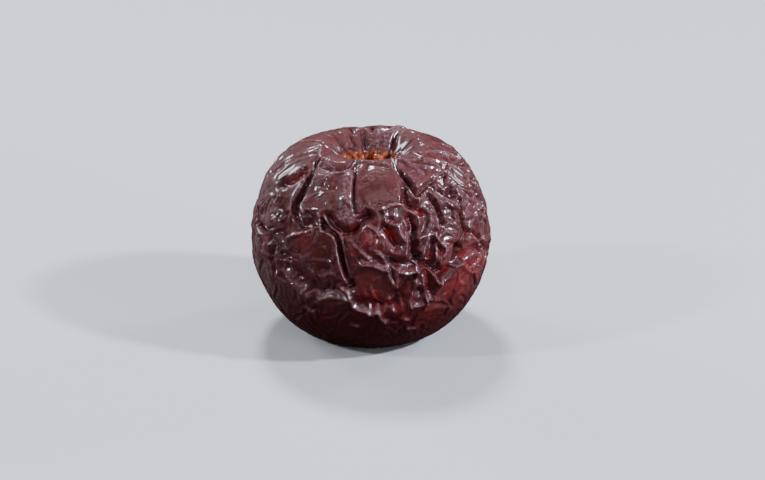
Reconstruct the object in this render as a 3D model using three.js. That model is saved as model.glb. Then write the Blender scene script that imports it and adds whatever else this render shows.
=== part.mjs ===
// A dried cherry: one wrinkled fruit whose stalk has come away, standing on its blossom end with
// the stalk cavity upwards. Millimetres, +Z up, origin under the middle of the resting patch.

import * as THREE from "three";
import * as BufferGeometryUtils from "three/addons/utils/BufferGeometryUtils.js";

// Driving sizes
const WIDTH = 22; // across X, at the waist
const DEPTH = 21.4; // across Y, at the waist
const HEIGHT = 18.4; // from the foot ring, before it is pressed flat, to the crest of the cavity
const WAIST_HEIGHT = 9.4; // of the widest ring
const CREST_RADIUS = 4.9; // of the crest round the stalk cavity
const CAVITY_DEPTH = 3.4; // from the crest down to the stalk scar
const PIT_RADIUS = 0.9; // of the small pit in the scar, where the stalk's core sat
const PIT_DEPTH = 0.5;
const FOOT_RADIUS = 4.0; // of the ring that the fruit rests on
const DIMPLE_DEPTH = 0.9; // of the blossom dimple inside that ring
const FOOT_FLATTENING = 0.15; // how far the ring is pressed flat

// Shrinkage
const SHOULDER_ROUNDNESS = 1.86; // exponent of the upper quarter outline; 2 is an ellipse
const BELLY_ROUNDNESS = 1.95; // the same for the lower quarter
const FOLD_COUNT = 9; // radial folds drawn into the stalk cavity
const FOLD_DEPTH = 0.45;
const FOLD_RANGE = 28; // degrees of colatitude over which a fold fades from the crest
const BACK_CREASES = 13; // creases round the sides and back
const BACK_START = 72; // longitude of the first one, in degrees
const BACK_SWEEP = 232; // degrees of longitude that they share
const BACK_TOPS = [44, 58]; // colatitudes where they start, in turn
const BACK_STEPS = 4; // straight steps in each, of BACK_STEP degrees of colatitude
const BACK_STEP = 12;
const BACK_WANDER = 7; // how far one wanders to each side, in degrees
const WANDER_PER_STEP = 1.9; // how far the wander's wave moves on from step to step, in radians
const WANDER_PER_CREASE = 2.3; // and from crease to crease
const BACK_WIDTH = 1.4;
const BACK_DEPTH = 0.6;

// Mesh
const DETAIL = 18; // each face of the icosahedron is cut into (DETAIL + 1) squared triangles
const OUTLINE_STEPS = 60; // straight steps in each quarter of the outline

// The creases of the front, in millimetres. A route's points are [longitude, colatitude] in degrees:
// longitude 0 faces -Y and grows towards +X, and colatitude grows from the stalk scar down.
const FRONT_CREASES = [
  { width: 1.3, depth: 0.6, route: [[-48, 40], [-44, 50], [-44, 58], [-40, 65], [-35, 67], [-30, 65]] },
  { width: 1.2, depth: 0.5, route: [[-23, 62], [-16, 66.5], [-11, 67.5], [-5, 62], [-9, 55], [-10, 45]] },
  { width: 1.2, depth: 0.7, route: [[-26, 64], [-20, 68], [-15, 74], [-12, 85], [-9, 94]] },
  { width: 1.3, depth: 0.5, route: [[-76, 74], [-64, 79], [-54, 82], [-43, 86]] },
  { width: 1.3, depth: 0.5, route: [[-64, 53], [-53, 45]] },
  { width: 1.2, depth: 0.4, route: [[-54, 82], [-54, 90], [-53, 96]] },
  { width: 1.2, depth: 0.6, route: [[24, 40], [29, 51]] },
  { width: 1.3, depth: 0.6, route: [[24, 47], [22, 55], [29, 60]] },
  { width: 1.3, depth: 0.7, route: [[21, 63], [21, 79], [25, 84], [35, 92], [43, 88], [57, 86], [70, 90]] },
  { width: 1.3, depth: 0.5, route: [[9.5, 81], [16, 84], [22, 83.5]] },
  { width: 1.2, depth: 0.6, route: [[37, 54], [40, 62], [40, 67]] },
  { width: 1.2, depth: 0.5, route: [[57, 61], [54, 73], [64, 81], [69, 86]] },
  { width: 1.3, depth: 0.6, route: [[8.5, 65.5], [13, 74]] },
  { width: 1.4, depth: 0.5, route: [[-30, 97], [-18, 97], [-9, 102], [0, 103.5], [12, 101]] },
  { width: 1.3, depth: 0.5, route: [[20, 91], [15, 95], [10, 100]] },
  { width: 1.3, depth: 0.5, route: [[28, 90], [30, 100]] },
];

const radians = THREE.MathUtils.degToRad;

// Points on a quarter of a superellipse round a centre (radius, height), from its top down to its
// widest or, with a negative reachZ and fromTop false, from its widest down to its bottom.
function quarterOutline(centre, reachR, reachZ, roundness, fromTop) {
  const points = [];
  for (let step = 1; step <= OUTLINE_STEPS; step += 1) {
    const share = fromTop ? step / OUTLINE_STEPS : 1 - step / OUTLINE_STEPS;
    const angle = share * Math.PI / 2;
    const r = centre.x + reachR * Math.sin(angle) ** (2 / roundness);
    const z = centre.y + reachZ * Math.cos(angle) ** (2 / roundness);
    points.push(new THREE.Vector2(r, z));
  }
  return points;
}

// The rise of a smooth hollow: 0 on the axis and 1 at its rim.
function hollow(share) {
  return (1 - Math.cos(Math.PI * share)) / 2;
}

// The outline of the fruit from the middle of the scar, over the crest and the waist, to the dimple.
function fruitOutline() {
  const waist = WIDTH / 2;
  const points = [];
  for (let step = 0; step <= OUTLINE_STEPS; step += 1) {
    const r = CREST_RADIUS * step / OUTLINE_STEPS;
    const pit = PIT_DEPTH * (1 - hollow(Math.min(1, r / PIT_RADIUS)));
    points.push(new THREE.Vector2(r, HEIGHT - CAVITY_DEPTH * (1 - hollow(r / CREST_RADIUS)) - pit));
  }
  const shoulderCentre = new THREE.Vector2(CREST_RADIUS, WAIST_HEIGHT);
  const bellyCentre = new THREE.Vector2(FOOT_RADIUS, WAIST_HEIGHT);
  const shoulderRise = HEIGHT - WAIST_HEIGHT;
  points.push(...quarterOutline(
    shoulderCentre, waist - CREST_RADIUS, shoulderRise, SHOULDER_ROUNDNESS, true));
  points.push(...quarterOutline(
    bellyCentre, waist - FOOT_RADIUS, -WAIST_HEIGHT, BELLY_ROUNDNESS, false));
  for (let step = OUTLINE_STEPS - 1; step >= 0; step -= 1) {
    const share = step / OUTLINE_STEPS;
    points.push(new THREE.Vector2(FOOT_RADIUS * share, DIMPLE_DEPTH * (1 - hollow(share))));
  }
  return points;
}

// For each outline point, the share of the surface's area between it and the scar.
function areaShares(outline) {
  const shares = [0];
  for (let index = 1; index < outline.length; index += 1) {
    const here = outline[index];
    const before = outline[index - 1];
    shares.push(shares[index - 1] + here.distanceTo(before) * (here.x + before.x) / 2);
  }
  const total = shares[shares.length - 1];
  return shares.map((share) => share / total);
}

// The outline point below which the given share of the area lies.
function outlinePoint(outline, shares, share) {
  const found = shares.findIndex((value) => value >= share);
  const upper = found < 0 ? shares.length - 1 : Math.max(found, 1);
  const span = shares[upper] - shares[upper - 1];
  const blend = THREE.MathUtils.clamp((share - shares[upper - 1]) / span, 0, 1);
  return outline[upper - 1].clone().lerp(outline[upper], blend);
}

// A direction on the unit sphere, where equal areas stand for equal areas of skin.
function direction(longitude, colatitude) {
  const side = Math.sin(radians(colatitude));
  return new THREE.Vector3(
    side * Math.sin(radians(longitude)),
    -side * Math.cos(radians(longitude)),
    Math.cos(radians(colatitude)),
  );
}

// Creases of the sides and back: wavy meridians of alternating length.
function backCreases() {
  const creases = [];
  for (let index = 0; index < BACK_CREASES; index += 1) {
    const longitude = BACK_START + BACK_SWEEP * index / (BACK_CREASES - 1);
    const top = BACK_TOPS[index % BACK_TOPS.length];
    const route = [];
    for (let step = 0; step <= BACK_STEPS; step += 1) {
      const wave = step * WANDER_PER_STEP + index * WANDER_PER_CREASE;
      route.push([longitude + BACK_WANDER * Math.sin(wave), top + BACK_STEP * step]);
    }
    creases.push({ width: BACK_WIDTH, depth: BACK_DEPTH, route });
  }
  return creases;
}

// The angle on the unit sphere between a direction and the nearest point of a route.
function angleToRoute(place, route) {
  const nearest = new THREE.Vector3();
  let smallest = Math.PI;
  for (let index = 1; index < route.length; index += 1) {
    const step = new THREE.Line3(route[index - 1], route[index]);
    step.closestPointToPoint(place, true, nearest);
    smallest = Math.min(smallest, nearest.angleTo(place));
  }
  return smallest;
}

// How far the skin sinks at a direction: the deepest crease there, and the folds of the cavity.
function sinkAt(place, creases, sphereRadius) {
  let sink = 0;
  for (const crease of creases) {
    const distance = sphereRadius * angleToRoute(place, crease.directions);
    sink = Math.max(sink, crease.depth * Math.exp(-((2 * distance / crease.width) ** 2)));
  }
  const longitude = Math.atan2(place.x, -place.y);
  const colatitude = THREE.MathUtils.radToDeg(Math.acos(place.z));
  const fade = Math.exp(-(((colatitude - FOLD_RANGE) / FOLD_RANGE) ** 2) * 2);
  const fold = (1 + Math.cos(FOLD_COUNT * longitude + Math.sin(2 * longitude))) / 2;
  return sink + FOLD_DEPTH * fade * fold;
}

// The closed, welded skin of the fruit.
function fruitGeometry() {
  const outline = fruitOutline();
  const shares = areaShares(outline);
  const sphere = new THREE.IcosahedronGeometry(1, DETAIL);
  sphere.deleteAttribute("normal");
  sphere.deleteAttribute("uv");
  const geometry = BufferGeometryUtils.mergeVertices(sphere, 1e-5);
  const position = geometry.getAttribute("position");
  const places = [];
  for (let index = 0; index < position.count; index += 1) {
    const place = new THREE.Vector3().fromBufferAttribute(position, index).normalize();
    const around = Math.atan2(place.y, place.x);
    const point = outlinePoint(outline, shares, (1 - place.z) / 2);
    const y = point.x * Math.sin(around) * DEPTH / WIDTH;
    position.setXYZ(index, point.x * Math.cos(around), y, point.y);
    places.push(place);
  }
  geometry.computeVertexNormals();
  sinkCreases(geometry, places);
  pressFoot(geometry);
  geometry.computeVertexNormals();
  return geometry;
}

// Draws the creases and folds into the skin, each point moving inwards along its normal.
function sinkCreases(geometry, places) {
  const creases = [...FRONT_CREASES, ...backCreases()];
  for (const crease of creases) {
    crease.directions = crease.route.map((point) => direction(...point));
  }
  const sphereRadius = (WIDTH + DEPTH + HEIGHT) / 6;
  const position = geometry.getAttribute("position");
  const normal = geometry.getAttribute("normal");
  for (let index = 0; index < position.count; index += 1) {
    const point = new THREE.Vector3().fromBufferAttribute(position, index);
    const outward = new THREE.Vector3().fromBufferAttribute(normal, index);
    point.addScaledVector(outward, -sinkAt(places[index], creases, sphereRadius));
    position.setXYZ(index, point.x, point.y, point.z);
  }
}

// Presses the foot ring flat, and puts the origin under the middle of the fruit.
function pressFoot(geometry) {
  const position = geometry.getAttribute("position");
  for (let index = 0; index < position.count; index += 1) {
    position.setZ(index, Math.max(position.getZ(index), FOOT_FLATTENING));
  }
  geometry.computeBoundingBox();
  const middle = geometry.boundingBox.getCenter(new THREE.Vector3());
  geometry.translate(-middle.x, -middle.y, -FOOT_FLATTENING);
}

function driedCherry() {
  const skin = new THREE.MeshStandardMaterial({ color: 0x5a2328, roughness: 0.42, metalness: 0 });
  const mesh = new THREE.Mesh(fruitGeometry(), skin);
  mesh.name = "dried_cherry";
  return mesh;
}

const group = new THREE.Group();
group.add(driedCherry());

export default group;
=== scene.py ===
"""A dried cherry on a pale table: its wrinkled skin, materials, light and camera."""
import collections
import math

import bpy
import numpy as np
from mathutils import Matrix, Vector


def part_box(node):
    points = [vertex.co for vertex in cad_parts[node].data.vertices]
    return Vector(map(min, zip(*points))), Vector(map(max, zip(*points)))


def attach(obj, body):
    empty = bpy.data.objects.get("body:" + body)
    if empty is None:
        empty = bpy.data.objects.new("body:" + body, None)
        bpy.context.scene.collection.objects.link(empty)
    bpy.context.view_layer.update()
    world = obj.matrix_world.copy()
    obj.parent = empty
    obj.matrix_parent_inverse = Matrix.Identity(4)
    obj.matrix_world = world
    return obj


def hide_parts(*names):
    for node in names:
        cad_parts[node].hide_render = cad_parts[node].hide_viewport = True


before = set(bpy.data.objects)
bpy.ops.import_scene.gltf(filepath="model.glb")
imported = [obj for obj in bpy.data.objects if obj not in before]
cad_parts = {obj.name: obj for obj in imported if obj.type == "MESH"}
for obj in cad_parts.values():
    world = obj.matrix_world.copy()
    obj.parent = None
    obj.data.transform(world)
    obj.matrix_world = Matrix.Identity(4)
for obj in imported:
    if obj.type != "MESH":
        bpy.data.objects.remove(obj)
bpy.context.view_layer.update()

MM = 0.001

# The form of the fruit in millimetres, before it is fitted to the frame's box
WAIST_RADIUS = 11.0
DEPTH_TO_WIDTH = 0.973
HEIGHT = 18.4
WAIST_HEIGHT = 9.4
CREST_RADIUS = 4.9
CAVITY_DEPTH = 3.4
SCAR_RADIUS = 3.1
FOOT_RADIUS = 4.0
DIMPLE_DEPTH = 0.9
FOOT_FLATTENING = 0.15
SHOULDER_ROUNDNESS = 1.86
BELLY_ROUNDNESS = 1.95

# The mesh of the skin
FIRST_CUTS = 24  # cuts along each side of the icosahedron at the first level
CROWDED_AT = (0, 72)  # longitude and colatitude where the mesh is finest
CROWDING = 1.3  # how much finer it is there than if it were even
SKIN_RADIUS = 10.0  # in mm, of the sphere that stands for the skin when distances are measured

# The drawn creases and ridges, with depths in millimetres and reaches in half widths
GIVE_FROM = 0.4  # depth above which the flesh gives way under a crease
FULL_GIVE = 0.6  # depth at which it gives way most
LEAST_VALLEY = 0.02
LIP_HEIGHT = 0.10  # of the raised skin beside a crease, as a share of the crease's depth
LIP_PLACE = 2.0
LIP_REACH = 0.8
RIDGE_ROUNDNESS = 1.6  # exponent of a ridge's profile

# The fine relief of the skin, in millimetres
NOISE_WAVES = 24  # in each smooth noise
FACETS = 480
FACET_BEND = 0.035  # how crooked their borders are, as a share of the skin's radius
FACET_SQUASH = (1, 1, 0.7)  # makes them longer from top to bottom
FACET_DEPTH = 0.24
FACET_EDGE = 0.35  # over which a facet rises to its border
FACET_RIDGE = 0.15  # half the width of the thin ridge there
BELLY_LUMPS = 0.045
FIBRE_RIBS = 0.22
FIBRE_LUMPS = 0.10
FIBRE_SINK = 0.1
SCAR_EDGE = 0.6

# How the skin folds, from large folds to small wrinkles. The wavelength of the folds, the depth
# at which the flesh gives way and the least width of what is drawn are in millimetres.
Level = collections.namedtuple(
    "Level", "steps step stretch ground wavelength soft_depth least_width")
LEVELS = [
    Level(500, 0.050, 12.0, 1.0, 3.4, 0.35, 1.0),
    Level(350, 0.028, 14.0, 3.0, 1.8, 0.25, 0.5),
    Level(220, 0.011, 30.0, 20.0, 0.85, 0.15, 0.2),
]
DAMPING = 0.93
FIRMNESS = 1.4  # of the flesh against being pressed in
GIVING = 0.3  # the share of it that is lost under a drawn crease
DEEP_FIRMNESS = 0.35  # grows with the third power of the depth
OUTER_FIRMNESS = 5  # against being pulled off the flesh
SIDEWAYS_FIRMNESS = 0.25
FIRST_WAVES = 0.04  # height of the waves that start the folds, as a share of their wavelength
FIRST_SINK = 0.02  # in mm, where the flesh gives way

# Each crease: width and depth in millimetres, then its route as longitude and colatitude in
# degrees. Longitude 0 faces the camera and grows to the right, colatitude grows
# from the stalk.
CREASES = [
    # The groove at the left of the upper plateau, and the hollow at its foot
    (0.65, 0.38, [(-50, 37), (-48, 40), (-45.5, 43), (-44.5, 46), (-43.7, 50), (-43, 54),
                  (-44, 58), (-43, 61.5), (-40, 65), (-36.5, 68)]),
    (1.1, 0.32, [(-36, 67.3), (-33, 66.8), (-30, 64.5)]),
    # The thin line at the right of the upper plateau, and the crescent under it
    (0.3, 0.25, [(-11, 38), (-10.5, 45), (-9.8, 50), (-9, 55), (-7.5, 58)]),
    (0.7, 0.47, [(-22.5, 62), (-19, 64.8), (-16, 66.3), (-12.5, 67.8), (-9.5, 67), (-7, 65),
                 (-4.5, 61.5), (-1, 59.5)]),
    # The long groove down the front
    (0.75, 0.36, [(-25.5, 64.5), (-23.5, 66.7), (-21, 67.7), (-18.3, 69), (-16.4, 71.3),
                  (-15.3, 73.8), (-14, 77.3), (-13.2, 81), (-11.9, 85.5), (-10.5, 89.5),
                  (-9.3, 93)]),
    (0.35, 0.08, [(-13, 70.5), (-11.5, 75), (-11, 78), (-9.5, 84), (-8, 90)]),
    # The left side
    (0.7, 0.43, [(-76, 74), (-72, 78), (-64, 78.7), (-58.5, 80), (-54, 81.5), (-50.5, 83),
                 (-47.5, 85), (-43, 86)]),
    (0.6, 0.29, [(-54, 82), (-54.5, 86), (-54, 90), (-53, 95)]),
    (0.8, 0.32, [(-53, 44.5), (-56, 48.5), (-60, 52), (-64, 53.5)]),
    (1.6, 0.25, [(-53, 66), (-50, 70), (-49, 74)]),
    (0.4, 0.11, [(-58, 68.5), (-53, 69.5)]),
    (0.4, 0.11, [(-52, 72), (-51, 75)]),
    (0.4, 0.04, [(-31, 46.5), (-27.5, 49)]),
    (0.4, 0.04, [(-26, 48.5), (-22, 47.5)]),
    (1.0, 0.20, [(-43, 37.5), (-35, 37.7), (-27, 37), (-19, 35.5), (-16, 33)]),
    # The right side, from the rim of the cavity down
    (0.5, 0.43, [(24.5, 39.5), (27.3, 46), (29.2, 51)]),
    (0.75, 0.43, [(24, 46.5), (22.6, 51), (22.3, 55), (25.3, 57.7), (28.5, 60)]),
    (1.0, 0.18, [(29, 61), (29.5, 64), (28, 68)]),
    (0.7, 0.40, [(21.5, 62.3), (22.5, 65.5), (22, 69)]),
    (0.65, 0.42, [(20.7, 68), (21, 72), (21, 75), (20.7, 79.5), (22, 82)]),
    (0.8, 0.58, [(22, 81.5), (24.5, 83.5), (29, 86), (33, 89.3), (35.5, 91.5)]),
    (0.8, 0.36, [(9.5, 81), (14, 82.7), (18.5, 84.2), (22, 83.5)]),
    (0.7, 0.50, [(35.5, 92), (40.5, 89.3), (43.5, 87), (45, 84.5), (46.5, 81.3)]),
    (0.7, 0.43, [(43, 88), (50, 87), (57, 86), (63, 87), (70, 90), (78, 92)]),
    (0.5, 0.40, [(37.5, 54), (39, 58.5), (40, 62), (40.2, 66.5)]),
    (0.5, 0.25, [(31.5, 51.3), (35.5, 49.7), (41, 48.2), (45, 47.5)]),
    (0.8, 0.22, [(42, 49.5), (46, 53), (50, 57), (54, 56.5)]),
    (0.5, 0.47, [(57, 61.5), (56, 64.5), (55, 68), (54, 72.5), (54.5, 76)]),
    (0.5, 0.32, [(54.5, 76), (60, 77.5), (64, 81), (69, 86)]),
    (0.7, 0.36, [(79, 60), (80, 66), (79, 71)]),
    (0.7, 0.32, [(8.3, 65.5), (10, 68.5), (11.5, 71.5), (13, 74)]),
    (0.5, 0.22, [(10.5, 62.3), (12.5, 62.8)]),
    (0.6, 0.25, [(31.7, 74.5), (30.6, 78.5), (28.7, 81.5)]),
    (0.5, 0.25, [(35, 77), (35.5, 80)]),
    # Below the waist
    (0.55, 0.32, [(20.5, 91), (17.5, 92.3), (15, 95), (12.5, 98), (10, 100.3)]),
    (1.0, 0.25, [(-7, 102.5), (0, 103.5), (8, 103.5), (12, 101)]),
    (0.8, 0.36, [(28, 89.5), (29, 94), (30, 100)]),
    (0.5, 0.18, [(21.5, 98), (24, 99)]),
    (1.6, 0.29, [(-27, 97.5), (-21, 98), (-16, 95.5)]),
    (1.2, 0.29, [(-43, 90), (-38, 92), (-33, 95)]),
    # The far rim of the cavity
    (6.0, 0.30, [(150, 30), (180, 30), (210, 30)]),
    (1.8, 0.28, [(188, 14), (190, 30), (188, 42)]),
    (0.4, 0.09, [(178, 8), (177, 26)]),
]
# Raised folds, in the same way
RIDGES = [
    (0.35, 0.28, [(-27.8, 61.5), (-27.2, 64.5), (-25.7, 68.3), (-21.3, 69.8), (-18.6, 71.2),
                  (-17.2, 73.6), (-16.5, 77), (-15.3, 81.5), (-14, 86), (-12.5, 89.3),
                  (-11.3, 92)]),
    (0.25, 0.22, [(-24.5, 62), (-21, 65.7), (-17.6, 67.7), (-15, 69.7), (-13.5, 72.5),
                  (-12.2, 77), (-11, 82), (-9.8, 86.5), (-9, 89.5)]),
    (0.45, 0.20, [(-43.5, 75.5), (-37, 72), (-31, 69.3), (-28, 67.5)]),
    (0.35, 0.18, [(-47, 48), (-47.5, 52), (-48, 57), (-47, 61), (-45, 65), (-45.5, 68.5)]),
    (0.5, 0.12, [(-38.5, 55), (-39.5, 59), (-38, 62), (-36.8, 65)]),
    (1.2, 0.16, [(-16, 41), (-15, 50), (-13.5, 58), (-12, 62)]),
    (0.4, 0.15, [(-62, 56), (-60, 60)]),
    (0.35, 0.18, [(-30, 42), (-27, 40), (-21, 38.7), (-17.5, 36.3), (-15, 32), (-8, 30.5),
                  (4, 31), (14, 33), (18, 36)]),
    (0.35, 0.16, [(26, 46.5), (26, 50.5), (26.8, 53), (29, 54), (28.3, 57), (31.2, 59),
                  (33, 61.5), (32.5, 65), (31, 68), (29, 70.5), (24.7, 72)]),
    (0.45, 0.18, [(19.5, 56.5), (23.3, 60), (25.8, 62), (25.6, 65)]),
    (0.3, 0.14, [(7, 57), (11, 55.5), (15, 55), (20, 55)]),
    (0.3, 0.14, [(7, 57), (8, 60), (8, 63)]),
    (0.6, 0.30, [(11, 63.8), (13.6, 65), (14.5, 68), (16, 71)]),
    (0.4, 0.20, [(17.5, 63), (18.7, 66), (19, 70), (18, 73.5), (17, 78)]),
    (0.3, 0.14, [(-1, 65), (2, 66.5), (4, 69)]),
    (0.3, 0.14, [(-4, 77), (-0.7, 79.5)]),
    (0.6, 0.32, [(-3.5, 82.7), (0, 82.7), (3, 83.7), (6.3, 85.3)]),
    (0.3, 0.20, [(3.6, 77.4), (5.8, 79), (8, 81.5), (10, 83.5), (12.5, 85.5)]),
    (0.35, 0.22, [(6.5, 81), (7.7, 84), (8.2, 87), (9.3, 90.5), (11.5, 94)]),
    (0.35, 0.20, [(12.5, 86), (12, 89.5), (12.6, 94.5)]),
    (0.6, 0.20, [(15, 87), (19, 87.5)]),
    (0.3, 0.20, [(20.3, 80.5), (22.7, 84.7), (22.2, 89), (21.5, 93), (20.5, 98), (19, 103),
                 (20, 106)]),
    (0.35, 0.22, [(25.5, 91), (25.6, 96), (27.5, 101), (28.3, 105.5)]),
    (0.4, 0.18, [(20, 106), (24, 106.5), (28, 106)]),
    (0.4, 0.22, [(36, 95), (34, 100), (32.5, 104)]),
    (0.4, 0.22, [(30, 73), (27, 77), (25.2, 81)]),
    (0.35, 0.22, [(34, 73), (35.5, 75.5), (38.3, 79), (36.5, 82)]),
    (0.3, 0.18, [(34.3, 76.5), (32.7, 79.5), (32.2, 82)]),
    (0.4, 0.20, [(36, 65.5), (35.8, 69)]),
    (0.5, 0.20, [(50.5, 61), (52, 64)]),
    (0.35, 0.22, [(58.5, 74), (61, 78), (62, 83)]),
    (0.4, 0.20, [(56, 51.5), (56.3, 55)]),
    (0.5, 0.18, [(46, 58.5), (50, 58.5), (53, 60)]),
    (0.3, 0.15, [(42, 88.5), (45, 90.5), (50, 91)]),
    (0.5, 0.28, [(-14.5, 95.3), (-12, 96.5), (-10, 98.5), (-9.2, 102), (-8, 105), (-5.5, 106.7),
                 (-2.5, 107.3), (0, 109), (3.3, 108.5), (5, 111.5), (7, 114.5)]),
    (0.8, 0.25, [(-24, 103), (-19, 100.5), (-12, 100.5)]),
    (0.8, 0.22, [(-42, 96), (-37, 98.5), (-32, 102.3)]),
    (0.35, 0.16, [(-32, 111.5), (-30, 112)]),
    (0.35, 0.16, [(-9, 117), (-6.5, 117.5)]),
    (0.35, 0.16, [(17.5, 114), (19.5, 114.5)]),
    (0.35, 0.16, [(10.5, 106), (11.5, 108)]),
    (0.35, 0.16, [(21, 121.5), (26, 121)]),
    # Veins on the shoulders
    (0.25, 0.10, [(30, 31), (40, 32.5), (52, 34), (62, 38), (70, 44), (75, 52), (77, 60)]),
    (0.25, 0.10, [(30, 31), (36, 34), (42, 36.5), (47, 39)]),
    (0.25, 0.08, [(32, 31.5), (38, 37), (41, 41)]),
    (0.25, 0.10, [(52, 34), (58, 40), (60, 47), (62, 53)]),
    (0.25, 0.10, [(62, 31), (72, 34), (82, 40), (88, 48)]),
    (0.25, 0.08, [(47, 39), (54, 41), (60, 47)]),
    (0.25, 0.10, [(-52, 33), (-64, 30), (-78, 28), (-92, 29)]),
    (0.25, 0.08, [(-64, 30), (-72, 36), (-80, 44), (-84, 52)]),
    (2.5, 0.20, [(165, 24), (152, 33)]),
    (0.25, 0.08, [(-56, 33), (-66, 38), (-71, 44), (-74, 52)]),
]
# Parts of the skin that stay plump: longitude, colatitude and reach in degrees
CALM = [
    (-22, 52, 13), (4, 51, 14), (-68, 48, 24), (-31, 79, 12), (-2, 93, 10), (-88, 62, 18),
    (48, 36, 13), (-20, 28, 12), (10, 30, 14),
]

# Where a red glow of light through the flesh is painted into the colour, in the same way
GLOWS = [
    (9, 68, 5), (26, 58, 5), (15, 110, 9), (30, 114, 9), (-2, 71, 6), (36, 88, 8), (60, 92, 14),
    (-33, 73, 5), (-58, 47, 5), (45, 104, 12), (0, 100, 6),
]

# How the skin's attributes are measured
HOLLOW_PASSES = 60  # of evening out, to get the skin round a point
FULL_HOLLOW = 0.28  # in mm
UNDER_FROM = 108  # colatitude in degrees where the shaded underside begins
UNDER_BLEND = 4

# Colours of the skin
DARK_TONE = (0.060, 0.0055, 0.0060)
LIGHT_TONE = (0.094, 0.0130, 0.0130)
# dust, and painted sheen where the skin faces up
DUST_AND_SHEEN_TONE = (0.122, 0.030, 0.032)
PATCH_TONE = (0.052, 0.0035, 0.0070)
# the wine-purple of the flesh in hollows, darkened there as painted shade
HOLLOW_SHADE_TONE = (0.060, 0.0030, 0.0095)
# painted glow: bright red where light would come through the flesh
PAINTED_GLOW_TONE = (0.240, 0.007, 0.005)
# painted shade on the underside
UNDERSIDE_SHADE_TONE = (0.042, 0.0012, 0.0014)
# pale skin of ridges and veins, lightened as painted highlight where it faces up
PALE_RIDGE_AND_HIGHLIGHT_TONE = (0.300, 0.175, 0.200)
DARK_FIBRE = (0.060, 0.004, 0.002)
LIGHT_FIBRE = (0.420, 0.085, 0.022)

# The camera sees a pale floor and a pale room. The light that falls back on the fruit from them
# is dim, and from the floor dark red, as it is in a heap of dark fruit.
FLOOR_SIZE = 0.6
FLOOR_SEEN = (0.62, 0.62, 0.63, 1)
FLOOR_REFLECTED = (0.06, 0.035, 0.035, 1)
FLOOR_ROUGHNESS = 0.6

# Each light: name, place in metres, size in metres, power in watts and colour
LIGHT_TARGET = (0, 0, 0.01)
COOL = (0.86, 0.91, 1.0)
COOLER = (0.80, 0.86, 1.0)
WARM = (1.0, 0.98, 0.97)
LIGHTS = [
    ("behind", (-0.04, 0.17, 0.28), 0.06, 1.0, COOL),
    ("back left", (-0.24, 0.20, 0.13), 0.10, 0.6, COOL),
    ("back right", (0.26, 0.16, 0.13), 0.06, 0.45, COOL),
    ("left", (-0.30, -0.12, 0.20), 0.03, 0.8, COOL),
    ("right", (0.30, -0.10, 0.22), 0.03, 2.1, COOLER),
    ("low right", (0.28, -0.22, 0.07), 0.06, 0.48, COOLER),
    ("fill", (0.02, -0.30, 0.32), 0.30, 0.31, WARM),
]
ROOM_COLOUR = (0.9, 0.93, 1.0, 1)
ROOM_LIGHT = 0.02
ROOM_SEEN = 1.0

CAMERA_AIM = (0.00107, 0, 0.00852)
CAMERA_ELEVATION = 23
CAMERA_DISTANCE = 0.195
CAMERA_LENS = 100
CAMERA_SENSOR = 36
CAMERA_CLIP = 0.01


def quarter(centre_radius, centre_height, reach_radius, reach_height, roundness, angles):
    """Points on a quarter of a superellipse, as radii and heights."""
    radii = centre_radius + reach_radius * np.sin(angles) ** (2 / roundness)
    heights = centre_height + reach_height * np.cos(angles) ** (2 / roundness)
    return radii, heights


def fruit_outline():
    """Radius, height and share of the skin's area along the outline, from scar to dimple."""
    share = np.linspace(0, 1, 200)
    rise = (1 - np.cos(np.pi * share)) / 2
    cavity = CREST_RADIUS * share, HEIGHT - CAVITY_DEPTH * (1 - rise)
    down = share[1:] * np.pi / 2
    shoulder = quarter(CREST_RADIUS, WAIST_HEIGHT, WAIST_RADIUS - CREST_RADIUS,
                       HEIGHT - WAIST_HEIGHT, SHOULDER_ROUNDNESS, down)
    belly = quarter(FOOT_RADIUS, WAIST_HEIGHT, WAIST_RADIUS - FOOT_RADIUS,
                    -WAIST_HEIGHT, BELLY_ROUNDNESS, down[::-1] - down[0])
    dimple = FOOT_RADIUS * (1 - share[1:]), DIMPLE_DEPTH * rise[1:]
    radii = np.concatenate([cavity[0], shoulder[0], belly[0], dimple[0]])
    heights = np.concatenate([cavity[1], shoulder[1], belly[1], dimple[1]])
    steps = np.hypot(np.diff(radii), np.diff(heights)) * (radii[1:] + radii[:-1]) / 2
    area = np.concatenate([[0], np.cumsum(steps)])
    return radii, heights, area / area[-1]


def smooth_form(directions):
    """Where each direction of the unit sphere lies on the fruit before it shrinks."""
    radii, heights, area = fruit_outline()
    share = (1 - directions[:, 2]) / 2
    radius = np.interp(share, area, radii)
    around = np.arctan2(directions[:, 1], directions[:, 0])
    return np.stack([radius * np.cos(around), radius * np.sin(around) * DEPTH_TO_WIDTH,
                     np.interp(share, area, heights)], axis=1)


def unit(vectors):
    return vectors / np.linalg.norm(vectors, axis=-1, keepdims=True)


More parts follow.
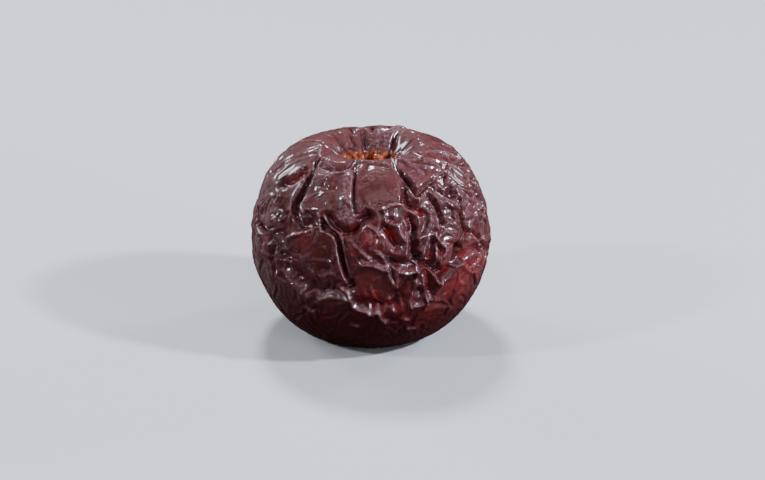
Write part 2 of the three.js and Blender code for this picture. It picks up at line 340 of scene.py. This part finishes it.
def icosphere(frequency):
    """Directions and triangles of an icosahedron with each face cut into frequency squared."""
    tall = (1 + math.sqrt(5)) / 2
    corners = unit(np.array([
        (-1, tall, 0), (1, tall, 0), (-1, -tall, 0), (1, -tall, 0), (0, -1, tall), (0, 1, tall),
        (0, -1, -tall), (0, 1, -tall), (tall, 0, -1), (tall, 0, 1), (-tall, 0, -1), (-tall, 0, 1)]))
    sides = [(0, 11, 5), (0, 5, 1), (0, 1, 7), (0, 7, 10), (0, 10, 11), (1, 5, 9), (5, 11, 4),
             (11, 10, 2), (10, 7, 6), (7, 1, 8), (3, 9, 4), (3, 4, 2), (3, 2, 6), (3, 6, 8),
             (3, 8, 9), (4, 9, 5), (2, 4, 11), (6, 2, 10), (8, 6, 7), (9, 8, 1)]
    points = []
    triangles = []
    for side in sides:
        a, b, c = corners[list(side)]
        index = {}
        for i in range(frequency + 1):
            for j in range(frequency + 1 - i):
                index[i, j] = len(points)
                points.append(a + (b - a) * i / frequency + (c - a) * j / frequency)
        for i in range(frequency):
            for j in range(frequency - i):
                triangles.append((index[i, j], index[i + 1, j], index[i, j + 1]))
                if i + j < frequency - 1:
                    triangles.append((index[i + 1, j], index[i + 1, j + 1], index[i, j + 1]))
    _, first, same = np.unique(np.round(points, 6), axis=0, return_index=True, return_inverse=True)
    return unit(np.array(points)[first]), same.reshape(-1)[np.array(triangles)]


def split(fields, triangles):
    """Cuts each triangle in four. Each field gets the mean of the edge's ends at a new point."""
    edges = np.sort(triangles[:, [0, 1, 1, 2, 2, 0]].reshape(-1, 2), axis=1)
    pairs, same = np.unique(edges, axis=0, return_inverse=True)
    count = len(fields[0])
    middle = count + same.reshape(-1, 3)
    a, b, c = triangles.T
    ab, bc, ca = middle.T
    finer = np.concatenate([np.stack(rows, axis=1) for rows in (
        (a, ab, ca), (ab, b, bc), (ca, bc, c), (ab, bc, ca))])
    return [np.concatenate([field, field[pairs].mean(axis=1)]) for field in fields], finer


def neighbour_table(triangles, count):
    """The six neighbours of each point; a point with five repeats itself."""
    ends = triangles[:, [0, 1, 1, 2, 2, 0]].reshape(-1, 2)
    ends = ends[np.argsort(ends[:, 0], kind="stable")]
    starts = np.searchsorted(ends[:, 0], np.arange(count))
    place = np.arange(len(ends)) - starts[ends[:, 0]]
    table = np.repeat(np.arange(count)[:, None], 6, axis=1)
    table[ends[:, 0], place] = ends[:, 1]
    return table


def smoothed(values, table, passes):
    """Values evened out with their neighbours'."""
    for _ in range(passes):
        values = 0.5 * (values + values[table].mean(axis=1))
    return values


def crowded(directions):
    """Draws the points of an even sphere together at the front, without changing their angles."""
    front = direction(*CROWDED_AT)
    along = directions @ front
    across = directions - along[:, None] * front
    near = (1 + along) * CROWDING ** 2
    far = 1 - along
    along = (near - far) / (near + far)
    return along[:, None] * front + unit(across + 1e-12) * np.sqrt(1 - along ** 2)[:, None]


def vertex_normals(points, triangles):
    a, b, c = (points[triangles[:, corner]] for corner in range(3))
    face = np.cross(b - a, c - a)
    total = np.stack([sum(np.bincount(triangles[:, corner], face[:, axis], len(points))
                          for corner in range(3)) for axis in range(3)], axis=1)
    return unit(total)


def direction(longitude, colatitude):
    """The unit vector of a longitude and colatitude in degrees."""
    lon = np.radians(longitude)
    colat = np.radians(colatitude)
    return np.stack([np.sin(colat) * np.sin(lon), -np.sin(colat) * np.cos(lon), np.cos(colat)],
                    axis=-1)


def degrees_of(directions):
    """Longitude and colatitude of each direction, in degrees."""
    longitude = np.degrees(np.arctan2(directions[:, 0], -directions[:, 1]))
    colatitude = np.degrees(np.arccos(np.clip(directions[:, 2], -1, 1)))
    return longitude, colatitude


def curve_through(route, steps=6):
    """A smooth curve through a route's points, as unit vectors."""
    points = np.array([route[0]] + list(route) + [route[-1]], dtype=float)
    curve = []
    for a, b, c, d in zip(points, points[1:], points[2:], points[3:]):
        for t in np.linspace(0, 1, steps, endpoint=False):
            curve.append(0.5 * (2 * b + (c - a) * t + (2 * a - 5 * b + 4 * c - d) * t ** 2
                                + (3 * b - a - 3 * c + d) * t ** 3))
    curve.append(points[-1])
    curve = np.array(curve)
    return direction(curve[:, 0], curve[:, 1])


def distance_to(route, directions):
    """Millimetres along the skin from each direction to a route."""
    curve = curve_through(route)
    nearest = np.full(len(directions), 9.0)
    for start, end in zip(curve, curve[1:]):
        along = end - start
        share = np.clip((directions - start) @ along / (along @ along), 0, 1)
        gap = directions - start - share[:, None] * along
        nearest = np.minimum(nearest, np.einsum("ij,ij->i", gap, gap))
    return SKIN_RADIUS * np.sqrt(nearest)


def drawn_relief(directions, least_width):
    """Heights in millimetres of the creases and ridges that are listed, how far the flesh
    gives way under each point, and how near a ridge it lies, both from 0 to 1."""
    relief = np.zeros(len(directions))
    give = np.zeros(len(directions))
    ridge = np.zeros(len(directions))
    for width, depth, route in CREASES:
        drawn_width = max(width, least_width)
        drawn_depth = depth * width / drawn_width
        reach = distance_to(route, directions) / (drawn_width / 2)
        if GIVE_FROM < depth:
            give = np.maximum(give, np.exp(-reach ** 2) * min(1, depth / FULL_GIVE))
        valley = -drawn_depth * np.exp(-reach ** 2)
        lip = LIP_HEIGHT * drawn_depth * np.exp(-((reach - LIP_PLACE) / LIP_REACH) ** 2)
        relief = np.where(valley < -LEAST_VALLEY, np.minimum(relief, valley), relief) + lip
    for width, height, route in RIDGES:
        drawn_width = max(width, least_width)
        reach = distance_to(route, directions) / (drawn_width / 2)
        relief += height * width / drawn_width * np.exp(-reach ** RIDGE_ROUNDNESS)
        ridge = np.maximum(ridge, np.exp(-reach ** 2))
    return relief, give, ridge


def smooth_noise(directions, scale, seed):
    """Noise of about -1 to 1 whose waves are about a given length in millimetres."""
    draw = np.random.default_rng(seed)
    waves = unit(draw.normal(size=(NOISE_WAVES, 3))) * draw.uniform(0.7, 1.4, (NOISE_WAVES, 1))
    phases = draw.uniform(0, 2 * math.pi, NOISE_WAVES)
    turns = directions @ waves.T * (2 * math.pi * SKIN_RADIUS / scale)
    return np.cos(turns + phases).sum(axis=1) / math.sqrt(NOISE_WAVES / 2)


def facets(directions):
    """Sunken and raised facets with thin ridges where they meet: their relief, and the ridges."""
    draw = np.random.default_rng(3)
    squash = np.array(FACET_SQUASH)
    seeds = unit(draw.normal(size=(FACETS, 3))) * squash
    push = np.stack([smooth_noise(directions, 3.0, 20 + axis) for axis in range(3)], axis=1)
    places = unit(directions + FACET_BEND * push) * squash
    gaps = (places ** 2).sum(axis=1)[:, None] + (seeds ** 2).sum(axis=1) - 2 * places @ seeds.T
    order = np.argpartition(gaps, 1, axis=1)[:, :2]
    two = np.take_along_axis(gaps, order, axis=1)
    first = np.where(two[:, 0] < two[:, 1], order[:, 0], order[:, 1])
    other = np.where(two[:, 0] < two[:, 1], order[:, 1], order[:, 0])
    apart = np.linalg.norm(seeds[first] - seeds[other], axis=1)
    edge = SKIN_RADIUS * np.abs(two[:, 0] - two[:, 1]) / (2 * apart)
    level = draw.uniform(-1.0, 0.3, FACETS)[first]
    ridge = np.exp(-(edge / FACET_RIDGE) ** 1.5)
    return level * (1 - np.exp(-(edge / FACET_EDGE) ** 2)) + 0.35 * ridge, ridge


def nearness(spots, directions, sharpness):
    """From 1 in the middle of a spot to 0 well away from all of them."""
    most = np.zeros(len(directions))
    for longitude, colatitude, reach in spots:
        cosine = np.clip(directions @ direction(longitude, colatitude), -1, 1)
        most = np.maximum(most, np.exp(-(np.degrees(np.arccos(cosine)) / reach) ** sharpness))
    return most


def bands(directions):
    """How strongly each point belongs to the belly, shoulder, front, right and underside."""
    lon, colat = degrees_of(directions)
    belly = np.exp(-((colat - 78) / 36) ** 4)
    shoulder = np.exp(-((colat - 28) / 16) ** 2)
    front = np.exp(-(lon / 75) ** 4)
    right = np.exp(-((lon - 48) / 30) ** 2) * belly
    below = np.exp(-((colat - 128) / 26) ** 4)
    return belly, shoulder, front, right, below


def growth(directions, number):
    """How much too long the skin is at each point: a share everywhere, and one round the axis.
    There are fewer free folds at the front, where they are drawn."""
    belly, shoulder, front, right, below = bands(directions)
    patchy = 0.5 + 0.5 * np.clip(smooth_noise(directions, 14, 5 + number), -1, 1)
    free = 1 - 0.85 * nearness(CALM, directions, 4)
    if number == 0:
        everywhere = belly * (0.06 + 0.03 * patchy) * free * (1 - 0.9 * front) + 0.01
        around = (0.04 * shoulder + 0.04 * belly) * free * (1 - 0.8 * front)
    elif number == 1:
        everywhere = belly * (0.03 + 0.04 * patchy) * free * (1 - 0.8 * front)
        everywhere = everywhere + 0.03 * patchy * below + 0.01
        around = 0.08 * shoulder
    else:
        everywhere = belly * (0.03 + 0.04 * patchy) * (0.3 + 0.7 * free)
        everywhere = everywhere + 0.02 * right + 0.03 * below + 0.01
        around = 0.12 * shoulder
    return everywhere, around


def rest_lengths(directions, spans, lengths, table, number):
    """The length that each edge of the grown skin has when nothing stretches it."""
    everywhere, around = growth(directions, number)
    circle = unit(np.cross([0, 0, 1], directions) + 1e-9)
    facing = np.einsum("nkj,nj->nk", spans, circle)[..., None] / lengths
    grown = 1 + everywhere[:, None, None] + around[:, None, None] * facing ** 2
    grown = (grown + (grown[..., 0].mean(axis=1)[table])[..., None]) / 2
    return (lengths * grown).astype(np.float32)


def shrink(base, directions, triangles, give, number):
    """Lets the skin, which is too long for the flesh under it, fold until it is at rest."""
    level = LEVELS[number]
    count = len(base)
    table = neighbour_table(triangles, count)
    real = (table != np.arange(count)[:, None])[..., None].astype(np.float32)
    valence = real.sum(axis=1)
    normals = vertex_normals(base, triangles).astype(np.float32)
    base = base.astype(np.float32)
    spans = base[table] - base[:, None]
    lengths = np.linalg.norm(spans, axis=2, keepdims=True) + 1e-9
    rest = rest_lengths(directions, spans, lengths, table, number)
    edge = (lengths * real).sum(axis=1) / valence
    # 16 and 1.15 turn sums over six neighbours into bending and stretching of an even skin
    bend = level.ground * (level.wavelength / (2 * math.pi)) ** 4 * 16 / edge ** 4
    pull = 1.15 * level.stretch / edge

    waves = smooth_noise(directions, level.wavelength, 11 + number)[:, None]
    moved = (FIRST_WAVES * level.wavelength * waves * normals).astype(np.float32)
    moved -= FIRST_SINK * give[:, None].astype(np.float32) * normals
    firm = (FIRMNESS * (1 - GIVING * give))[:, None].astype(np.float32)
    speed = np.zeros_like(moved)
    for _ in range(level.steps):
        around_moved = moved[table]
        reach = spans + around_moved - moved[:, None]
        size = np.sqrt(np.einsum("nkj,nkj->nk", reach, reach))[..., None] + 1e-9
        force = pull * ((size / rest - 1) / size * reach * real).sum(axis=1)
        curl = (around_moved * real).sum(axis=1) / valence - moved
        force -= bend * ((curl[table] * real).sum(axis=1) / valence - curl)
        height = np.einsum("nj,nj->n", moved, normals)[:, None]
        inward = np.minimum(height, 0)
        outward = np.maximum(height, 0)
        hold = firm * inward / (1 + (inward / level.soft_depth) ** 2)
        hold = hold + DEEP_FIRMNESS * inward ** 3 + OUTER_FIRMNESS * outward
        sideways = SIDEWAYS_FIRMNESS * (moved - height * normals)
        force -= level.ground * (hold * normals + sideways)
        speed = DAMPING * speed + level.step * force
        moved += level.step * speed
    return (base + moved).astype(float)


def scar_fibres(directions, form):
    """Torn fibres that run outwards in the stalk scar: their relief, and where the scar is."""
    lon, colat = degrees_of(directions)
    radius = np.hypot(form[:, 0], form[:, 1] / DEPTH_TO_WIDTH)
    mask = np.clip((SCAR_RADIUS - radius) / SCAR_EDGE, 0, 1) * (colat < 60)
    ribs = np.abs(smooth_noise(direction(lon, np.full_like(lon, 20)), 1.6, 31))
    lumps = smooth_noise(directions, 1.1, 32)
    return mask * (FIBRE_RIBS * ribs + FIBRE_LUMPS * lumps - FIBRE_SINK), mask


def with_fine_relief(relief, ridge, directions, form):
    """Adds the facets, the lumps of the belly and the fibres of the scar."""
    belly = bands(directions)[0]
    patchy = 0.5 + 0.5 * np.clip(smooth_noise(directions, 6, 9), -1, 1)
    free = 1 - 0.9 * nearness(CALM, directions, 4)
    strength = np.clip(belly * (0.22 + 0.78 * free * patchy), 0, 0.9)
    facet_relief, facet_ridge = facets(directions)
    relief = relief + FACET_DEPTH * strength * facet_relief
    relief = relief + BELLY_LUMPS * belly * smooth_noise(directions, 2.2, 41)
    ridge = np.maximum(ridge, 0.8 * strength * facet_ridge)
    fibres, mask = scar_fibres(directions, form)
    return relief + fibres, ridge * (1 - mask)


def drawn_form(directions, triangles, number):
    """The form with its drawn relief, how far the flesh gives way, and the thin ridges."""
    form = smooth_form(directions)
    relief, give, ridge = drawn_relief(directions, LEVELS[number].least_width)
    if number == len(LEVELS) - 1:
        relief, ridge = with_fine_relief(relief, ridge, directions, form)
    return form + vertex_normals(form, triangles) * relief[:, None], give, ridge


def wrinkled_skin():
    """Points, triangles, directions and thin ridges of the finished skin."""
    even, triangles = icosphere(FIRST_CUTS)
    folded = np.zeros_like(even)
    for number in range(len(LEVELS)):
        if number:
            (even, folded), triangles = split([even, folded], triangles)
            even = unit(even)
            folded = smoothed(folded, neighbour_table(triangles, len(folded)), 3)
        directions = crowded(even)
        drawn, give, ridge = drawn_form(directions, triangles, number)
        folded = shrink(drawn + folded, directions, triangles, give, number) - drawn
    points = drawn + folded
    points[:, 2] = np.maximum(points[:, 2], FOOT_FLATTENING)
    return points, triangles, directions, ridge


def fit_to_frame(points):
    """Scales the skin from millimetres to exactly the box that the frame gives the fruit."""
    low, high = (np.array(corner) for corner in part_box("dried_cherry"))
    span = points.max(axis=0) - points.min(axis=0)
    return low + (points - points.min(axis=0)) * (high - low) / span


def hollowness(points, triangles):
    """How far each point lies below the skin round it, as a share of a full depth."""
    table = neighbour_table(triangles, len(points))
    gap = smoothed(points, table, HOLLOW_PASSES) - points
    depth = np.einsum("ij,ij->i", gap, vertex_normals(points, triangles))
    return np.clip(depth / FULL_HOLLOW, -1, 1)


def add_attribute(mesh, name, values):
    layer = mesh.attributes.new(name, "FLOAT", "POINT")
    layer.data.foreach_set("value", values.astype(np.float32))


def add_skin(material):
    points, triangles, directions, ridge = wrinkled_skin()
    mesh = bpy.data.meshes.new("dried_cherry_skin")
    mesh.from_pydata(fit_to_frame(points).tolist(), [], triangles.tolist())
    mesh.polygons.foreach_set("use_smooth", np.ones(len(triangles), dtype=bool))
    mesh.materials.append(material)
    colatitude = degrees_of(directions)[1]
    hollow = hollowness(points, triangles)
    # The painted glow of light through the flesh is strongest in hollows, and freer below the waist
    thin = np.maximum(np.clip((hollow + 0.4) / 0.7, 0.1, 1),
                      np.clip((colatitude - 90) / 8, 0, 0.6))
    add_attribute(mesh, "hollow", hollow)
    add_attribute(mesh, "ridge", ridge)
    add_attribute(mesh, "glow", nearness(GLOWS, directions, 2) * thin)
    add_attribute(mesh, "under", 1 / (1 + np.exp((UNDER_FROM - colatitude) / UNDER_BLEND)))
    add_attribute(mesh, "scar", scar_fibres(directions, smooth_form(directions))[1])
    piece = bpy.data.objects.new("dried_cherry_skin", mesh)
    bpy.context.scene.collection.objects.link(piece)
    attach(piece, "root")
    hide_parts("dried_cherry")
    return piece


class Nodes:
    """A short way to write a material's nodes. Sizes, widths and depths are in millimetres."""

    def __init__(self, name):
        self.material = bpy.data.materials.new(name)
        self.material.use_nodes = True
        self.tree = self.material.node_tree
        self.shader = self.tree.nodes["Principled BSDF"]

    def put(self, socket, value):
        if isinstance(value, bpy.types.NodeSocket):
            self.tree.links.new(value, socket)
        else:
            socket.default_value = value

    def attribute(self, name):
        node = self.tree.nodes.new("ShaderNodeAttribute")
        node.attribute_name = name
        return node.outputs["Fac"]

    def place(self):
        return self.tree.nodes.new("ShaderNodeTexCoord").outputs["Object"]

    def upward(self):
        """The height of the surface's normal, from -1 to 1."""
        normal = self.tree.nodes.new("ShaderNodeNewGeometry").outputs["Normal"]
        parts = self.tree.nodes.new("ShaderNodeSeparateXYZ")
        self.put(parts.inputs[0], normal)
        return parts.outputs["Z"]

    def noise(self, size, detail=3.0, roughness=0.5):
        """Noise from 0 to 1 whose lumps are about a given size."""
        node = self.tree.nodes.new("ShaderNodeTexNoise")
        self.put(node.inputs["Vector"], self.place())
        self.put(node.inputs["Scale"], 1 / (size * MM))
        self.put(node.inputs["Detail"], detail)
        self.put(node.inputs["Roughness"], roughness)
        return node.outputs["Fac"]

    def ramp(self, value, low, high, out_low=0.0, out_high=1.0):
        """A value's place between low and high, eased, clamped and spread over the outputs."""
        node = self.tree.nodes.new("ShaderNodeMapRange")
        node.interpolation_type = "SMOOTHSTEP"
        for name, number in (("Value", value), ("From Min", low), ("From Max", high),
                             ("To Min", out_low), ("To Max", out_high)):
            self.put(node.inputs[name], number)
        return node.outputs["Result"]

    def combine(self, operation, first, second):
        node = self.tree.nodes.new("ShaderNodeMath")
        node.operation = operation
        self.put(node.inputs[0], first)
        self.put(node.inputs[1], second)
        return node.outputs[0]

    def both(self, first, second):
        return self.combine("MULTIPLY", first, second)

    def either(self, first, second):
        return self.combine("MAXIMUM", first, second)

    def mix(self, share, first, second):
        """One colour over another."""
        node = self.tree.nodes.new("ShaderNodeMix")
        node.data_type = "RGBA"
        self.put(node.inputs["Factor"], share)
        for socket, colour in ((node.inputs[6], first), (node.inputs[7], second)):
            self.put(socket, (*colour, 1) if isinstance(colour, tuple) else colour)
        return node.outputs[2]

    def edges(self, size, width, place):
        """1 on the borders of irregular cells of about a given size, 0 away from them."""
        node = self.tree.nodes.new("ShaderNodeTexVoronoi")
        node.feature = "DISTANCE_TO_EDGE"
        self.put(node.inputs["Vector"], place)
        self.put(node.inputs["Scale"], 1 / (size * MM))
        return self.ramp(node.outputs["Distance"], 0, width / size, 1, 0)

    def bent_place(self, size, reach):
        """The place on the piece, pushed about by noise so that straight lines become crooked."""
        node = self.tree.nodes.new("ShaderNodeTexNoise")
        self.put(node.inputs["Vector"], self.place())
        self.put(node.inputs["Scale"], 1 / (size * MM))
        push = self.tree.nodes.new("ShaderNodeVectorMath")
        push.operation = "MULTIPLY_ADD"
        self.put(push.inputs[0], node.outputs["Color"])
        self.put(push.inputs[1], (reach * MM,) * 3)
        self.put(push.inputs[2], self.place())
        return push.outputs[0]

    def bump(self, height, depth, below=None):
        node = self.tree.nodes.new("ShaderNodeBump")
        self.put(node.inputs["Height"], height)
        self.put(node.inputs["Distance"], depth * MM)
        if below is not None:
            self.put(node.inputs["Normal"], below)
        return node.outputs[0]


def skin_dust_and_sheen(n, hollow):
    """The dull bloom on what faces up and stands out, with painted sheen: lighter where it faces
    up, as if lit from above.
    """
    upper = n.both(n.ramp(n.upward(), 0.1, 1.0), n.ramp(n.noise(1.6, 5, 0.6), 0.25, 0.75, 0.5, 1))
    return n.both(upper, n.ramp(hollow, 0.35, -0.4, 0.0, 0.6))


def skin_veins(n, under):
    """A broken net of fine lines, down to the shaded underside."""
    net = n.edges(1.3, 0.13, n.bent_place(1.5, 2.0))
    broken = n.both(net, n.ramp(n.noise(1.8, 2), 0.45, 0.62))
    return n.both(broken, n.ramp(under, 0, 0.5, 1, 0))


def skin_tone(n, hollow, ridge, scar, under, dust_and_sheen, veins):
    tone = n.mix(n.ramp(n.noise(2.6, 4), 0.35, 0.65), DARK_TONE, LIGHT_TONE)
    # Dust and painted sheen: lighter where the skin faces up and stands out
    tone = n.mix(dust_and_sheen, tone, DUST_AND_SHEEN_TONE)
    patches = n.both(n.ramp(n.noise(1.5, 5, 0.6), 0.52, 0.64, 0, 0.75),
                     n.ramp(n.upward(), 0.75, 0.2))
    tone = n.mix(patches, tone, PATCH_TONE)
    # Painted shade: darker, wine-purple in the hollows
    tone = n.mix(n.ramp(hollow, 0.05, 0.6), tone, HOLLOW_SHADE_TONE)
    # Painted glow: the red of light coming through the flesh, painted into the colour
    glowing = n.both(n.attribute("glow"), n.ramp(n.noise(1.1, 3), 0.35, 0.55))
    tone = n.mix(glowing, tone, PAINTED_GLOW_TONE)
    # Painted shade: the underside made dark
    tone = n.mix(n.both(under, 0.9), tone, UNDERSIDE_SHADE_TONE)
    # Pale skin on ridges and veins, paler as painted highlight where they face up
    pale = n.both(n.either(ridge, n.both(veins, 0.7)),
                  n.ramp(n.noise(0.3, 3, 0.6), 0.40, 0.66, 0.05, 0.55))
    pale = n.both(pale, n.ramp(n.upward(), -0.5, 0.4, 0.25, 1))
    tone = n.mix(pale, tone, PALE_RIDGE_AND_HIGHLIGHT_TONE)
    fibres = n.mix(n.ramp(n.noise(0.45, 3, 0.6), 0.36, 0.60), DARK_FIBRE, LIGHT_FIBRE)
    return n.mix(scar, tone, fibres)


def skin_roughness(n, hollow, ridge, dust_and_sheen):
    rough = n.ramp(hollow, -0.4, 0.4, 0.52, 0.30)
    rough = n.combine("ADD", rough, n.ramp(n.noise(0.8, 4), 0.3, 0.7, -0.05, 0.07))
    rough = n.combine("ADD", rough, n.both(dust_and_sheen, 0.15))
    return n.combine("SUBTRACT", rough, n.both(ridge, 0.12))


def skin_coat(n, hollow, ridge, scar, under):
    """The moist gloss, strongest in hollows and on ridges."""
    moist = n.either(n.ramp(hollow, -0.5, 0.3, 0.35, 0.9), ridge)
    return n.both(moist, n.ramp(n.either(scar, under), 0, 1, 1, 0.3))


def skin_bumps(n, veins):
    lines = n.bump(veins, 0.045)
    dimples = n.bump(n.noise(0.5, 3, 0.55), 0.09, lines)
    return n.bump(n.noise(0.15, 2), 0.030, dimples)


def skin_material():
    """Dark satin skin, redder and glossier in its hollows, where painted shade also darkens it; a
    painted red glow of light through the flesh; painted shade on the underside; dust with painted
    sheen where it faces up.
    """
    n = Nodes("dried cherry skin")
    hollow = n.attribute("hollow")
    ridge = n.attribute("ridge")
    scar = n.attribute("scar")
    under = n.attribute("under")
    dust_and_sheen = skin_dust_and_sheen(n, hollow)
    veins = skin_veins(n, under)
    inputs = n.shader.inputs
    n.put(inputs["Base Color"], skin_tone(n, hollow, ridge, scar, under, dust_and_sheen, veins))
    n.put(inputs["Roughness"], skin_roughness(n, hollow, ridge, dust_and_sheen))
    n.put(inputs["Coat Weight"], skin_coat(n, hollow, ridge, scar, under))
    n.put(inputs["Normal"], skin_bumps(n, veins))
    inputs["Coat Roughness"].default_value = 0.08
    inputs["Specular IOR Level"].default_value = 0.25
    inputs["Subsurface Weight"].default_value = 0.12
    inputs["Subsurface Radius"].default_value = (1.0, 0.12, 0.06)
    inputs["Subsurface Scale"].default_value = 0.8 * MM
    return n.material


def add_floor():
    bpy.ops.mesh.primitive_plane_add(size=FLOOR_SIZE, location=(0, 0, 0))
    floor = bpy.context.object
    floor.name = "floor"
    material = bpy.data.materials.new("pale floor")
    material.use_nodes = True
    tree = material.node_tree
    shader = tree.nodes["Principled BSDF"]
    shader.inputs["Roughness"].default_value = FLOOR_ROUGHNESS
    tint = tree.nodes.new("ShaderNodeMix")
    tint.data_type = "RGBA"
    tint.inputs[6].default_value = FLOOR_REFLECTED
    tint.inputs[7].default_value = FLOOR_SEEN
    path = tree.nodes.new("ShaderNodeLightPath")
    tree.links.new(path.outputs["Is Camera Ray"], tint.inputs["Factor"])
    tree.links.new(tint.outputs[2], shader.inputs["Base Color"])
    floor.data.materials.append(material)


def turn_to(target, location):
    """The rotation with which a light or camera at a location looks at a target."""
    return (Vector(target) - Vector(location)).to_track_quat("-Z", "Y").to_euler()


def add_light(name, location, size, power, colour):
    light = bpy.data.lights.new(name, "AREA")
    light.shape = "DISK"
    light.size = size
    light.energy = power
    light.color = colour
    lamp = bpy.data.objects.new(name, light)
    lamp.location = location
    lamp.rotation_euler = turn_to(LIGHT_TARGET, location)
    bpy.context.scene.collection.objects.link(lamp)


def add_room():
    world = bpy.data.worlds.new("studio")
    bpy.context.scene.world = world
    world.use_nodes = True
    tree = world.node_tree
    background = tree.nodes["Background"]
    background.inputs["Color"].default_value = ROOM_COLOUR
    strength = tree.nodes.new("ShaderNodeMix")
    strength.data_type = "FLOAT"
    strength.inputs[2].default_value = ROOM_LIGHT
    strength.inputs[3].default_value = ROOM_SEEN
    path = tree.nodes.new("ShaderNodeLightPath")
    tree.links.new(path.outputs["Is Camera Ray"], strength.inputs["Factor"])
    tree.links.new(strength.outputs[0], background.inputs["Strength"])


def add_camera():
    elevation = math.radians(CAMERA_ELEVATION)
    towards = Vector((0, -math.cos(elevation), math.sin(elevation)))
    camera = bpy.data.cameras.new("camera")
    camera.lens = CAMERA_LENS
    camera.sensor_width = CAMERA_SENSOR
    camera.clip_start = CAMERA_CLIP
    holder = bpy.data.objects.new("camera", camera)
    holder.location = Vector(CAMERA_AIM) + CAMERA_DISTANCE * towards
    holder.rotation_euler = turn_to(CAMERA_AIM, holder.location)
    bpy.context.scene.collection.objects.link(holder)
    bpy.context.scene.camera = holder


add_camera()
add_floor()
for light in LIGHTS:
    add_light(*light)
add_room()
add_skin(skin_material())
